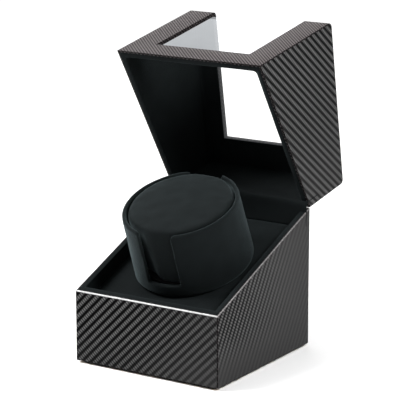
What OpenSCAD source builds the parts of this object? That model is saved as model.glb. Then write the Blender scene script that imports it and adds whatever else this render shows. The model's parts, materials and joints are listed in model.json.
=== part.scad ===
// Single-watch winder box. A wrapped carcass is split along a sloping plane into a base and a lid.
// The lid carries a clear pane bent over the front top edge and swings on two stop hinges at the rear.
// A flocked cup stands on the sloping deck and is turned by a motor and a train of gears under it.
// Carcass frame: X to the right, Y to the rear, Z up, centred under the box, with Z = 0 on its underside.
// The lid is drawn shut, and lid_pose() swings it open about the hinge pins.

/* [Box] */
// Outside width across the front
box_w = 115; // [113:1:124]
// Outside depth from front to rear
box_d = 120; // [118:1:128]
// Height of the shut box above its felt pad
box_h = 147; // [146:1:160]
// Height of the base at its front
front_h = 50; // [48:0.5:53]
// Height of the base at its rear
rear_h = 98.5; // [97:0.5:101]
// Thickness of a finished wall with its leather and lining
wall = 5; // [4.8:0.1:5.6]
// Thickness of the leather wrap
leather_t = 0.8; // [0.6:0.1:1]
// Thickness of the velvet lining
lining_t = 0.6; // [0.4:0.1:0.7]
// Width of leather that shows on the rim, outside the velvet
rim_fold = 1.4; // [1:0.1:2]
// Outside radius of the lid's two long top edges
lid_edge_r = 3.5; // [2.5:0.5:4]
// Gap between lid and base when shut
lid_gap = 0.3; // [0.2:0.1:0.5]
// Thickness of the felt pad under the floor
pad_t = 1.5; // [1.4:0.1:2.5]
// Angle of the open lid, measured from shut
open_a = 80; // [0:1:80]

/* [Window] */
// Width of the window opening
window_w = 75; // [66:1:80]
// Height of the rail below the window
front_rail = 19.7; // [14:0.1:24]
// Depth of the rail behind the window in the top
rear_rail = 24.5; // [18:0.5:30]
// Thickness of the clear pane
pane_t = 1.5; // [1:0.1:1.6]
// How far the pane laps behind the frame on each side
pane_lap = 5; // [3:0.5:6]

/* [Deck and cup] */
// Depth of the velvet deck below the rim
deck_drop = 10; // [9:0.5:11]
// Thickness of the deck board without its velvet
deck_board_t = 3; // [2.5:0.5:3]
// Outside radius of the cup at its rim
cup_r_top = 40.8; // [39:0.2:41]
// Outside radius of the cup at its floor
cup_r_floor = 42; // [40:0.5:43]
// Height of the cup above the rim of the base
cup_rise = 39.6; // [36:0.2:39.8]
// How far in front of the middle of the slope the cup stands
cup_shift = 2.5; // [1.5:0.1:2.6]
// Thickness of the cup's wall and floor
cup_wall = 3; // [2.5:0.1:3.2]
// Width of each strap notch
notch_w = 25; // [22:1:28]
// How far the cup stands turned to the right, in degrees
cup_turn = 3; // [0:1:10]
// Running gap between cup and deck
deck_gap = 1; // [0.8:0.1:1.5]
// Gap between the cushion and the cup's wall
cushion_gap = 0.6; // [0.4:0.1:1]

/* [Drive] */
// Gear module
gear_m = 0.5; // [0.5:0.01:0.52]
// Teeth on each pinion
pinion_teeth = 12; // [12:1:12]
// Teeth on each large intermediate wheel
wheel_teeth = 48; // [46:1:48]
// Teeth on the output gear
output_teeth = 60; // [58:1:60]
// Bearing of the second gear, seen along the cup's axis
second_bearing = 125; // [120:1:130]
// Radius of the motor can
motor_r = 12; // [11:0.5:12.5]
// Length of the motor can
motor_l = 12.3; // [11:0.1:14]

/* [Hidden] */
$fn = 72;

fit_gap = 0.02;                 // between pieces that are pressed, glued or screwed together
run_gap = 0.06;                 // between a shaft and the hole it turns in
far = 300;                      // longer than any part of the box

// Walls
slope_a = atan((rear_h - front_h) / box_d);
board_in = wall - lining_t;     // depth of the boards' inner faces
board_t = board_in - leather_t;
inner_x = box_w / 2 - board_in;
inner_y = box_d / 2 - board_in;
block_w = 10;
block_h = 14;
floor_screw_r = 1.2;
floor_screw_l = 11;
floor_screw_head = 2.4;
pad_in = 2.5;                   // from the sides of the box to the felt
pad_corner_r = 4;
batten_w = 8;
batten_l = 80;

// Window
pane_in = wall - lining_t - pane_t; // depth of the pane's outer face
pane_clear = 0.1;
pane_bend_r = 1.6;
window_z = front_h + front_rail;
window_y = box_d / 2 - rear_rail;

// Hinges
hinge_x = 34;
hinge_y = box_d / 2;
hinge_z = rear_h + lid_gap / 2;
leaf_w = 18;
leaf_h = 10;
leaf_t = 0.8;
knuckle_r = 1.4;
knuckle_l = 6;                  // the lid's middle knuckle
knuckle_gap = 0.2;
knuckle_room = 0.5;             // round the other leaf's knuckle
recess_room = 0.3;              // round the knuckles, in the rear edge
hinge_pin_r = 0.7;
stop_tab_l = 4.6;
stop_gap = 0.05;
leaf_screw_x = 6;
leaf_screw_z = 6.2;
leaf_screw_r = 0.7;
leaf_screw_l = 3.4;
leaf_screw_head = 1.3;

// Deck and cup, along the cup's axis from the rim plane
deck_edge_gap = 0.3;
deck_t = deck_board_t + lining_t;
deck_under = -deck_drop - deck_t;
deck_hole_r = 11.4;
cup_floor = -deck_drop + deck_gap;
cup_floor_top = cup_floor + cup_wall;
cup_rim_r = cup_wall / 2;
cup_foot_r = 1.2;
notch_floor = 0;
spigot_r = 5;
hub_r = 10;
hub_t = 2;
hub_screw_at = 7.5;             // from the cup's axis to a hub screw
hub_screw_r = 1;
shaft_r = 2.5;
shaft_screw_r = 1;
cushion_edge_r = 4;
cushion_foot_r = 2;
cushion_over = 1.5;             // from the cup's rim up to the top of the pad's round edge
cushion_crown = 2;
cushion_base_in = 3;            // from the cup's wall to its edge
cushion_flat = 36;              // half the distance between the flats behind the notches
cushion_base_t = 1.6;
cushion_base_z = cup_floor_top + 1.6;

// Gear train
wheel_r = gear_m * wheel_teeth / 2;
pinion_r = gear_m * pinion_teeth / 2;
output_r = gear_m * output_teeth / 2;
pressure_a = 25;
addendum = 0.9 * gear_m;
dedendum = 1.25 * gear_m;
backlash = 0.06;                // taken off each tooth's thickness
gear_t = 3;
gear_step = gear_t + 0.5;
plate_t = 2;
pin_r = 1;
spacer_r = 2;
end_play = 0.1;
first_reach = output_r + 4;     // from the output shaft to the first gear's pin
output_centre = output_r + pinion_r;
wheel_centre = wheel_r + pinion_r;
first_bearing = second_bearing - acos((pow(output_centre, 2) + pow(first_reach, 2) - pow(wheel_centre, 2))
    / (2 * output_centre * first_reach));
second_at = output_centre * [cos(second_bearing), sin(second_bearing)];
first_at = first_reach * [cos(first_bearing), sin(first_bearing)];
motor_bearing = -20;
motor_at = first_at + wheel_centre * [cos(motor_bearing), sin(motor_bearing)];
link_bearing = atan2(first_at[1] - second_at[1], first_at[0] - second_at[0]);
second_turn = mesh_turn(second_bearing, 0, output_teeth, pinion_teeth);
first_turn = mesh_turn(link_bearing, second_turn, wheel_teeth, pinion_teeth);
motor_turn = mesh_turn(motor_bearing, first_turn, wheel_teeth, pinion_teeth);

// Gearbox heights, downwards from the deck
plate_under = deck_under - plate_t;
layer_top = plate_under - 0.5;
case_floor = layer_top - 3 * gear_step;
cover_under = case_floor - plate_t;
case_x0 = -26;
case_x1 = motor_at[0] + 13.5;
case_y0 = -19;
case_y1 = first_at[1] + 16;
case_screw_in = 3.2;
case_screw_r = 1;
case_boss_r = 3;
bush_r = 4;
bush_boss_r = 6;
bush_top = cup_floor - hub_t - 0.2;

// Motor
can_t = 0.8;
motor_under = cover_under - motor_l;
motor_boss_r = 3;
motor_boss_h = 1.2;
motor_pin_r = 1;
motor_screw_x = 8;
motor_screw_r = 0.8;
magnet_t = 2.4;
armature_r = 7.6;
armature_l = 4.5;
end_cap_t = 2;

// Electronics at the rear
panel_z = 28;
switch_x = 20;
switch_body = 12;
switch_d = 8;
thread_r = 3.5;
nut_t = 2;
mode_shaft_r = 2;
knob_r = 7.5;
knob_y = box_d / 2 + nut_t + 0.7;
knob_l = 9;
pcb_t = 1.6;
pcb_y = inner_y - switch_d - pcb_t;
pcb_w = 44;
pcb_h = 30;
jack_x = -24;
jack_r = 4;
jack_bore_r = 2.85;
jack_pin_r = 1;
jack_tail_r = 0.8;
jack_flange_t = 1.5;
jack_mouth = box_d / 2 + jack_flange_t;
jack_depth = 10;
wire_r = 0.6;
magnet_r = 1.5;
magnet_h = 3;
magnet_x = 30;

// Velvet flap over the gap behind the open lid
flap_t = 0.4;
flap_y = box_d / 2 - wall - 0.05 - flap_t / 2;
flap_hold = 14;                 // length glued to the lid
flap_end = 0.6;                 // short of the deck
flap_side = 0.3;                // short of the side walls
flap_pull = 0.45;               // how far each end keeps its direction
flap_steps = 10;

// Screw heads
head_h = 1.2;
slot_l = 0.62;                  // half the slot's length, as a share of the head's radius
slot_w = 0.11;
slot_floor = 0.45;              // as a share of the head's height
small_head_r = 1.9;
motor_screw_head = 1.5;
motor_screw_head_h = 0.8;
motor_screw_bite = 1.5;
leaf_screw_head_h = 0.6;
shaft_screw_head = 3;
shaft_screw_l = 9;
tip_room = 0.5;
slack = 0.1;
overlap = 0.01;

// Small features
wire_elbow = 0.06;
magnet_sink = 0.2;
pin_end = 0.4;
spigot_sink = 0.2;
hub_roof = 1.2;
crown_sides = 720;
boss_wall = 1.8;
boss_h = 3.1;
armature_at = 4.5;
slot_in = 3;
slot_across = 1.8;
knob_bevel = 0.8;
knob_draft = 0.3;
knob_flutes = 12;
flute_r = 1.1;
pointer_w = 0.8;
pointer_depth = 0.5;
pointer_l = 3.1;
jack_flange = 1.6;
switch_nut_r = 5.6;
jack_nut_r = 6.4;
lead_x = 5;
board_lead_x = 21;

leather_colour = [0.11, 0.11, 0.12];
velvet_colour = [0.05, 0.05, 0.055];
board_colour = [0.62, 0.50, 0.36];
steel_colour = [0.72, 0.73, 0.75];
plastic_colour = [0.85, 0.84, 0.80];
dark_plastic_colour = [0.10, 0.10, 0.11];

// ---- Helpers ----

// Height of the split plane at a distance y behind the middle
function split_z(y) = front_h + (y + box_d / 2) * tan(slope_a);

// Upright distance that a plane parallel to the split moves when it is shifted by t square to itself
function upright(t) = t / cos(slope_a);

// Turn of a gear b that meshes with a gear a, where b lies at a bearing from a
function mesh_turn(bearing, turn_a, teeth_a, teeth_b) =
    bearing + 180 + 180 / teeth_b - (turn_a - bearing) * teeth_a / teeth_b;

// Point of the cup's own frame, in the carcass frame
function on_axis_point(p) = [
    p[0],
    (p[1] - cup_shift) * cos(slope_a) - p[2] * sin(slope_a),
    split_z(0) + (p[1] - cup_shift) * sin(slope_a) + p[2] * cos(slope_a)
];

module carcass() translate([0, 0, pad_t]) children();

module lid_pose()
    carcass()
        translate([0, hinge_y, hinge_z])
            rotate([-open_a, 0, 0])
                translate([0, -hinge_y, -hinge_z])
                    children();

// Frame of the cup: its origin is on the rim plane and +Z points away from the deck
module on_axis()
    carcass() translate([0, 0, split_z(0)]) rotate([slope_a, 0, 0]) translate([0, -cup_shift, 0]) children();

// Solid of width w across the box from an outline drawn in Y and Z
module prism(w) rotate([90, 0, 90]) linear_extrude(w, center = true) children();

// Round bar along Y from y0 to y1
module bar_y(r, y0, y1) translate([0, y0, 0]) rotate([-90, 0, 0]) cylinder(r = r, h = y1 - y0);

// Cylinder from height z0 to z1
module post(r, z0, z1) translate([0, 0, z0]) cylinder(r = r, h = z1 - z0);

// Round-head screw pointing down from the origin, with its head above and a cross recess
module screw(head_r, head_h, shank_r, length) {
    difference() {
        union() {
            cylinder(r = head_r, h = head_h);
            translate([0, 0, -length]) cylinder(r = shank_r, h = length + slack);
        }
        for (turn = [0, 90]) rotate([0, 0, turn])
            translate([-head_r * slot_l, -head_r * slot_w, head_h * slot_floor])
                cube([2 * head_r * slot_l, 2 * head_r * slot_w, head_h]);
    }
}

// Wire of radius wire_r through a list of points, with rounded corners
module wire(path) {
    for (i = [0 : len(path) - 2]) {
        step = path[i + 1] - path[i];
        translate(path[i])
            rotate([0, acos(step[2] / norm(step)), atan2(step[1], step[0])])
                cylinder(r = wire_r, h = norm(step), $fn = 24);
    }
    for (i = [1 : len(path) - 2]) translate(path[i]) sphere(r = wire_r + wire_elbow, $fn = 24);
}

// ---- Outlines of the box from the side ----

// Base, with its faces moved in by inset and its sloping top lowered by drop
module base_side(inset, drop, bottom = 0) {
    y = box_d / 2 - inset;
    polygon([
        [-y, bottom],
        [y, bottom],
        [y, split_z(y) - upright(drop)],
        [-y, split_z(-y) - upright(drop)]
    ]);
}

// Sloping band between two depths below the rim plane
module slope_band(half_l, top, under)
    polygon([
        [-half_l, split_z(-half_l) - upright(under)],
        [half_l, split_z(half_l) - upright(under)],
        [half_l, split_z(half_l) - upright(top)],
        [-half_l, split_z(-half_l) - upright(top)]
    ]);

// Region outside a circle of radius r in the corner that points to side s
module corner_cut(s, r)
    difference() {
        translate([s > 0 ? 0 : -2 * r, 0]) square(2 * r);
        circle(r);
    }

// Lid, with its faces moved in by inset and its sloping underside raised by lift
module lid_side(inset, lift) {
    y = box_d / 2 - inset;
    r = lid_edge_r - inset;
    difference() {
        polygon([
            [-y, split_z(-y) + upright(lift)],
            [y, split_z(y) + upright(lift)],
            [y, box_h - inset],
            [-y, box_h - inset]
        ]);
        if (r > 0)
            for (s = [-1, 1])
                translate([s * (y - r), box_h - inset - r]) corner_cut(s, r);
    }
}

// Bent strip over the front top edge, between two depths below the faces
module bent_strip(outer, inner, grow) {
    y = box_d / 2;
    polygon([
        [-y + outer, window_z - grow],
        [-y + outer, box_h - outer],
        [window_y + grow, box_h - outer],
        [window_y + grow, box_h - inner],
        [-y + inner, box_h - inner],
        [-y + inner, window_z - grow]
    ]);
}

// ---- Base ----

module base_boards()
    difference() {
        prism(box_w - 2 * leather_t) base_side(leather_t, leather_t);
        prism(2 * inner_x) base_side(board_in, -wall, -1);
    }

module base_side_board(s)
    color(board_colour)
        carcass()
            intersection() {
                base_boards();
                translate([s > 0 ? inner_x : -far, -far, -far]) cube([far - inner_x, 2 * far, 2 * far]);
            }

module base_left_board() base_side_board(-1);
module base_right_board() base_side_board(1);

module base_front_board()
    color(board_colour)
        carcass()
            difference() {
                intersection() {
                    base_boards();
                    translate([-inner_x, -far, -1]) cube([2 * inner_x, far - inner_y, far]);
                }
                magnet_spots(magnet_r + fit_gap, base_magnet_z());
            }

module base_rear_board()
    color(board_colour)
        carcass()
            difference() {
                intersection() {
                    base_boards();
                    translate([-inner_x, inner_y, -1]) cube([2 * inner_x, far, far]);
                }
                panel_holes();
                leaf_screw_holes(-1);
                hinge_recess();
            }

module base_floor_board()
    color(board_colour)
        carcass()
            difference() {
                translate([-inner_x + fit_gap, -inner_y + fit_gap, 0])
                    cube([2 * (inner_x - fit_gap), 2 * (inner_y - fit_gap), board_t]);
                floor_screw_spots() post(floor_screw_r + fit_gap, -1, board_t + 1);
            }

module floor_screw_spots()
    for (sx = [-1, 1], sy = [-1, 1])
        translate([sx * (inner_x - block_w / 2), sy * (inner_y - block_w / 2), 0]) children();

module corner_blocks()
    color(board_colour)
        carcass()
            floor_screw_spots()
                difference() {
                    translate([-block_w / 2 + fit_gap, -block_w / 2 + fit_gap, board_t])
                        cube([block_w - 2 * fit_gap, block_w - 2 * fit_gap, block_h]);
                    post(floor_screw_r + fit_gap, 0, floor_screw_l + tip_room);
                }

module floor_screws()
    color(steel_colour)
        carcass()
            floor_screw_spots() rotate([180, 0, 0]) screw(floor_screw_head, head_h, floor_screw_r, floor_screw_l);

// Wrap round the base, turned a little way over the rim
module base_leather()
    color(leather_colour)
        carcass()
            difference() {
                prism(box_w) base_side(0, 0);
                prism(box_w - 2 * leather_t) base_side(leather_t, leather_t, -1);
                prism(box_w - 2 * rim_fold) base_side(rim_fold, -wall);
                panel_holes();
                leaf_screw_holes(-1);
                hinge_recess();
            }

// Velvet on the inner walls down to the underside of the deck, turned outwards over the rim
module base_lining()
    color(velvet_colour)
        carcass()
            difference() {
                union() {
                    prism(2 * (inner_x - fit_gap)) slope_band(inner_y - fit_gap, leather_t / 2, -deck_under);
                    prism(box_w - 2 * (rim_fold + fit_gap))
                        slope_band(box_d / 2 - rim_fold - fit_gap, 0, leather_t - fit_gap);
                }
                prism(box_w - 2 * wall) slope_band(box_d / 2 - wall, -1, 1 - deck_under);
            }

module deck_battens()
    color(board_colour)
        carcass()
            for (s = [-1, 1])
                translate([s * (inner_x - batten_w / 2 - fit_gap), 0, 0])
                    prism(batten_w) slope_band(batten_l / 2, -deck_under, -deck_under + batten_w);

module deck_blank(inset, top)
    prism(box_w - 2 * (wall + deck_edge_gap + inset))
        slope_band(box_d / 2 - wall - deck_edge_gap - inset, top, -deck_under);

module deck_board()
    color(board_colour)
        difference() {
            carcass() deck_blank(lining_t, deck_drop + lining_t);
            on_axis() post(deck_hole_r, -far, far);
            on_axis() case_screw_spots() post(case_screw_r + fit_gap, -far, far);
        }

module deck_velvet()
    color(velvet_colour)
        difference() {
            carcass() deck_blank(0, deck_drop);
            carcass()
                prism(box_w - 2 * (wall + deck_edge_gap + lining_t))
                    slope_band(box_d / 2 - wall - deck_edge_gap - lining_t, deck_drop + lining_t, 1 - deck_under);
            on_axis() post(deck_hole_r, -far, far);
        }

function base_magnet_z() =
    split_z(-box_d / 2 + leather_t + board_t / 2 - magnet_r) - upright(leather_t) - magnet_h - magnet_sink;
function lid_magnet_z() =
    split_z(-box_d / 2 + leather_t + board_t / 2 + magnet_r) + upright(lid_gap + leather_t) + magnet_sink;

module magnet_spots(r, z)
    for (s = [-1, 1])
        translate([s * magnet_x, -box_d / 2 + leather_t + board_t / 2, z]) cylinder(r = r, h = magnet_h);

module base_magnets() color(steel_colour) carcass() magnet_spots(magnet_r, base_magnet_z());

// Non-slip pad, with a hole round the head of each floor screw
module base_felt()
    color([0.08, 0.08, 0.08])
        difference() {
            hull()
                for (sx = [-1, 1], sy = [-1, 1])
                    translate([sx * (box_w / 2 - pad_in - pad_corner_r), sy * (box_d / 2 - pad_in - pad_corner_r), 0])
                        cylinder(r = pad_corner_r, h = pad_t);
            floor_screw_spots() post(floor_screw_head + tip_room, -1, pad_t + 1);
        }

// ---- Hinges ----

module hinge_spots()
    for (s = [-1, 1]) translate([s * hinge_x, hinge_y, hinge_z]) children();

// Screw spots of both hinges' leaves, below the pin for side -1 and above it for side 1
module leaf_screw_spots(side)
    for (s = [-1, 1], t = [-1, 1])
        translate([s * hinge_x + t * leaf_screw_x, box_d / 2, hinge_z + side * leaf_screw_z]) children();

module leaf_screw_holes(side) leaf_screw_spots(side) bar_y(leaf_screw_r + fit_gap, -leaf_screw_l - slack, 1);

// Grooves that let the knuckles into the rear edge
module hinge_recess()
    hinge_spots()
        translate([-leaf_w / 2 - 2 * recess_room, 0, 0])
            rotate([0, 90, 0]) cylinder(r = knuckle_r + recess_room, h = leaf_w + 4 * recess_room);

// Flat leaf on the rear face, with room cut out round the other leaf's knuckles
module leaf_plate(side, ends)
    difference() {
        translate([-leaf_w / 2, box_d / 2 - hinge_y + fit_gap, side > 0 ? 0 : -leaf_h])
            cube([leaf_w, leaf_t, leaf_h]);
        for (span = ends)
            translate([span[0], -far / 2, -knuckle_r - knuckle_room])
                cube([span[1] - span[0], far, 2 * (knuckle_r + knuckle_room)]);
    }

module knuckle(x0, x1) translate([x0, 0, 0]) rotate([0, 90, 0]) cylinder(r = knuckle_r, h = x1 - x0);

module hinge_bore(r) translate([-far / 2, 0, 0]) rotate([0, 90, 0]) cylinder(r = r, h = far);

module leaf_holes(side)
    for (t = [-1, 1])
        translate([t * leaf_screw_x, 0, side * leaf_screw_z]) bar_y(leaf_screw_r + fit_gap, -far / 2, far / 2);

module hinge_base_leaves()
    color(steel_colour)
        carcass()
            hinge_spots()
                difference() {
                    union() {
                        leaf_plate(-1, [[-knuckle_l / 2 - knuckle_gap, knuckle_l / 2 + knuckle_gap]]);
                        knuckle(-leaf_w / 2, -knuckle_l / 2 - knuckle_gap);
                        knuckle(knuckle_l / 2 + knuckle_gap, leaf_w / 2);
                    }
                    hinge_bore(hinge_pin_r + fit_gap);
                    leaf_holes(-1);
                }

// The tab on the middle knuckle meets the back of the base leaf when the lid is fully open
module stop_tab()
    rotate([open_a, 0, 0])
        translate([-knuckle_l / 2 + knuckle_gap, box_d / 2 - hinge_y + leaf_t + fit_gap + stop_gap, -stop_tab_l])
            cube([knuckle_l - 2 * knuckle_gap, leaf_t, stop_tab_l]);

module hinge_lid_leaves()
    color(steel_colour)
        lid_pose()
            hinge_spots()
                difference() {
                    union() {
                        leaf_plate(1, [
                            [-leaf_w / 2 - 1, -knuckle_l / 2],
                            [knuckle_l / 2, leaf_w / 2 + 1]
                        ]);
                        knuckle(-knuckle_l / 2, knuckle_l / 2);
                        stop_tab();
                    }
                    hinge_bore(hinge_pin_r + run_gap);
                    leaf_holes(1);
                }

module hinge_pins()
    color(steel_colour)
        carcass()
            hinge_spots()
                translate([-leaf_w / 2 - pin_end, 0, 0])
                    rotate([0, 90, 0]) cylinder(r = hinge_pin_r, h = leaf_w + 2 * pin_end);

module leaf_screws(side)
    color(steel_colour)
        leaf_screw_spots(side)
            translate([0, leaf_t + fit_gap, 0])
                rotate([-90, 0, 0]) screw(leaf_screw_head, leaf_screw_head_h, leaf_screw_r, leaf_screw_l);

module hinge_base_screws() carcass() leaf_screws(-1);
module hinge_lid_screws() lid_pose() leaf_screws(1);

// ---- Lid ----

// Point of the shut lid, in Y and Z, where it is with the lid open
function opened(p) = [
    hinge_y + (p[0] - hinge_y) * cos(open_a) + (p[1] - hinge_z) * sin(open_a),
    hinge_z - (p[0] - hinge_y) * sin(open_a) + (p[1] - hinge_z) * cos(open_a)
];

function bezier(a, b, c, d, t) =
    pow(1 - t, 3) * a + 3 * pow(1 - t, 2) * t * b + 3 * (1 - t) * pow(t, 2) * c + pow(t, 3) * d;

// Middle line of the flap: up the base's rear wall, over the gap and onto the lid's rear wall
function flap_line() =
    let (
        low = [flap_y, split_z(flap_y)],
        high = opened([flap_y, split_z(flap_y) + upright(lid_gap) - flap_t]),
        lid_way = [sin(open_a), cos(open_a)],
        pull = norm(high - low) * flap_pull
    )
    concat(
        [[flap_y, split_z(flap_y) - upright(deck_drop) + flap_end]],
        [for (i = [0 : flap_steps]) bezier(low, low + [0, pull], high - pull * lid_way, high, i / flap_steps)],
        [high + flap_hold * lid_way]
    );

// Direction square to a line at its point i, to its left
function left_of(line, i) =
    let (way = line[min(i + 1, len(line) - 1)] - line[max(i - 1, 0)]) [-way[1], way[0]] / norm(way);

module hinge_flap()
    color(velvet_colour)
        carcass()
            prism(box_w - 2 * (wall + flap_side)) {
                line = flap_line();
                last = len(line) - 1;
                polygon(concat(
                    [for (i = [0 : last]) line[i] + left_of(line, i) * flap_t / 2],
                    [for (i = [last : -1 : 0]) line[i] - left_of(line, i) * flap_t / 2]
                ));
            }

module window_cut(grow)
    prism(window_w + 2 * grow) bent_strip(-1, wall + 1, grow);

// Space for the pane, open to the inside of the lid
module pane_rebate()
    prism(window_w + 2 * (pane_lap + pane_clear))
        bent_strip(pane_in - leather_t - fit_gap, wall + 1, pane_lap + pane_clear);

module lid_boards()
    difference() {
        prism(box_w - 2 * leather_t) lid_side(leather_t, lid_gap + leather_t);
        prism(2 * inner_x) lid_side(board_in, -far);
        window_cut(leather_t + fit_gap);
        pane_rebate();
    }

module lid_side_board(s)
    color(board_colour)
        lid_pose()
            intersection() {
                lid_boards();
                translate([s > 0 ? inner_x : -far, -far, 0]) cube([far - inner_x, 2 * far, far]);
            }

module lid_left_board() lid_side_board(-1);
module lid_right_board() lid_side_board(1);

module lid_front_frame()
    color(board_colour)
        lid_pose()
            difference() {
                intersection() {
                    lid_boards();
                    translate([-inner_x, -far, 0]) cube([2 * inner_x, far - inner_y, box_h - board_in]);
                }
                magnet_spots(magnet_r + fit_gap, lid_magnet_z());
            }

module lid_top_frame()
    color(board_colour)
        lid_pose()
            intersection() {
                lid_boards();
                translate([-inner_x, -far, box_h - board_in]) cube([2 * inner_x, 2 * far, far]);
            }

module lid_rear_board()
    color(board_colour)
        lid_pose()
            difference() {
                intersection() {
                    lid_boards();
                    translate([-inner_x, inner_y, 0]) cube([2 * inner_x, far, box_h - board_in]);
                }
                leaf_screw_holes(1);
                hinge_recess();
            }

// Wrap round the lid, folded through the window and under the pane's edge
module lid_leather()
    color(leather_colour)
        lid_pose()
            difference() {
                union() {
                    difference() {
                        prism(box_w) lid_side(0, lid_gap);
                        prism(box_w - 2 * leather_t) lid_side(leather_t, lid_gap + leather_t);
                    }
                    intersection() {
                        prism(box_w) lid_side(0, lid_gap);
                        prism(window_w + 2 * leather_t) bent_strip(-1, pane_in - fit_gap, leather_t);
                    }
                    prism(window_w + 2 * (pane_lap + pane_clear - fit_gap))
                        bent_strip(pane_in - leather_t, pane_in - fit_gap, pane_lap + pane_clear - fit_gap);
                }
                window_cut(0);
                prism(box_w - 2 * rim_fold) slope_band(box_d / 2 - rim_fold, -lid_gap - leather_t, 1);
                leaf_screw_holes(1);
                hinge_recess();
            }

// Velvet on the lid's inner walls, turned outwards over its rim
module lid_lining()
    color(velvet_colour)
        lid_pose()
            difference() {
                union() {
                    prism(2 * (inner_x - fit_gap)) lid_side(board_in + fit_gap, lid_gap + leather_t / 2);
                    prism(box_w - 2 * (rim_fold + fit_gap))
                        slope_band(box_d / 2 - rim_fold - fit_gap, -lid_gap - leather_t + fit_gap, -lid_gap);
                }
                prism(box_w - 2 * wall) lid_side(wall, -far);
                prism(window_w) bent_strip(0, wall + 1, 0);
            }

module window_pane()
    color([0.80, 0.88, 0.92, 0.3])
        lid_pose()
            prism(window_w + 2 * pane_lap)
                difference() {
                    bent_strip(pane_in, pane_in + pane_t - fit_gap, pane_lap);
                    translate([-box_d / 2 + pane_in + pane_bend_r, box_h - pane_in - pane_bend_r])
                        corner_cut(-1, pane_bend_r);
                }

module lid_magnets() color(steel_colour) lid_pose() magnet_spots(magnet_r, lid_magnet_z());

// ---- Cup and cushion ----

module cup()
    color(velvet_colour)
        on_axis()
            difference() {
                rotate_extrude()
                    difference() {
                        union() {
                            polygon([
                                [0, cup_floor],
                                [cup_r_floor - cup_foot_r, cup_floor],
                                [cup_r_floor, cup_floor + cup_foot_r],
                                [cup_r_top, cup_rise - cup_rim_r],
                                [0, cup_rise - cup_rim_r]
                            ]);
                            translate([cup_r_top - cup_rim_r, cup_rise - cup_rim_r]) circle(cup_rim_r);
                        }
                        polygon([
                            [-1, cup_floor_top],
                            [cup_r_floor - cup_wall, cup_floor_top],
                            [cup_r_top - cup_wall, cup_rise - cup_rim_r],
                            [cup_r_top - 2 * cup_rim_r, cup_rise + 1],
                            [-1, cup_rise + 1]
                        ]);
                    }
                rotate([0, 0, cup_turn]) translate([-notch_w / 2, -far / 2, notch_floor]) cube([notch_w, far, far]);
                post(spigot_r + fit_gap, cup_floor - 1, cup_floor_top + 1);
                hub_screw_spots() post(hub_screw_r + fit_gap, cup_floor - 1, cup_floor_top + 1);
            }

module hub_screw_spots()
    for (i = [0 : 2]) rotate([0, 0, 30 + i * 120])
        translate([hub_screw_at, 0, 0]) children();

module cup_hub()
    color(plastic_colour)
        on_axis()
            difference() {
                union() {
                    post(hub_r, cup_floor - hub_t, cup_floor);
                    post(spigot_r, cup_floor - hub_t, cup_floor_top - spigot_sink);
                }
                post(shaft_r + fit_gap, cup_floor - hub_t - 1, cup_floor_top - hub_roof);
                post(shaft_screw_r + fit_gap, cup_floor - hub_t - 1, cup_floor_top + 1);
                hub_screw_spots() post(hub_screw_r + fit_gap, cup_floor - hub_t - 1, cup_floor + 1);
            }

module hub_screws()
    color(steel_colour)
        on_axis()
            hub_screw_spots()
                translate([0, 0, cup_floor_top])
                    screw(small_head_r, head_h, hub_screw_r, cup_wall + hub_t - tip_room);

module output_shaft()
    color(steel_colour)
        on_axis()
            difference() {
                post(shaft_r, cover_under + spigot_sink, cup_floor_top - hub_roof - spigot_sink);
                post(shaft_screw_r + fit_gap, cup_floor_top - shaft_screw_l - 1, cup_floor_top);
            }

module shaft_screw()
    color(steel_colour)
        on_axis()
            translate([0, 0, cup_floor_top - spigot_sink + fit_gap])
                screw(shaft_screw_head, head_h, shaft_screw_r, shaft_screw_l);

module cushion() color(velvet_colour) on_axis() cushion_solid(cushion_base_z + cushion_base_t + fit_gap);

// Pad with a crowned top and a round edge, flattened behind the two notches for the strap
module cushion_solid(z0) {
    r0 = cup_r_top - cup_wall - cushion_gap;
    top_r = r0 - cushion_edge_r;
    edge_z = cup_rise + cushion_over - cushion_edge_r;
    crown_r = (pow(top_r, 2) + pow(cushion_crown, 2)) / (2 * cushion_crown);
    difference() {
        rotate_extrude()
            intersection() {
                union() {
                    polygon([
                        [0, z0],
                        [r0 - cushion_foot_r, z0],
                        [r0, z0 + cushion_foot_r],
                        [r0, edge_z],
                        [top_r, edge_z],
                        [top_r, far],
                        [0, far]
                    ]);
                    translate([top_r, edge_z])
                        intersection() {
                            circle(cushion_edge_r);
                            square(cushion_edge_r + 1);
                        }
                }
                union() {
                    translate([0, edge_z + cushion_edge_r + cushion_crown - crown_r]) circle(crown_r, $fn = crown_sides);
                    square([r0 + 1, edge_z + cushion_edge_r]);
                }
            }
        strap_flats(cushion_flat);
    }
}

// What the two flats behind the notches cut away
module strap_flats(from)
    for (s = [0, 180]) rotate([0, 0, cup_turn + s]) translate([-far / 2, from, -far / 2]) cube(far);

module cushion_base()
    color(dark_plastic_colour)
        on_axis()
            post(cup_r_top - cup_wall - cushion_base_in, cushion_base_z, cushion_base_z + cushion_base_t);

// ---- Gears ----

function involute(base_r, t) = base_r * [cos(t) + t * PI / 180 * sin(t), sin(t) - t * PI / 180 * cos(t)];
function roll_to(base_r, r) = sqrt(max(pow(r / base_r, 2) - 1, 0)) * 180 / PI;
function turn_point(p, a) = [p[0] * cos(a) - p[1] * sin(a), p[0] * sin(a) + p[1] * cos(a)];

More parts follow.
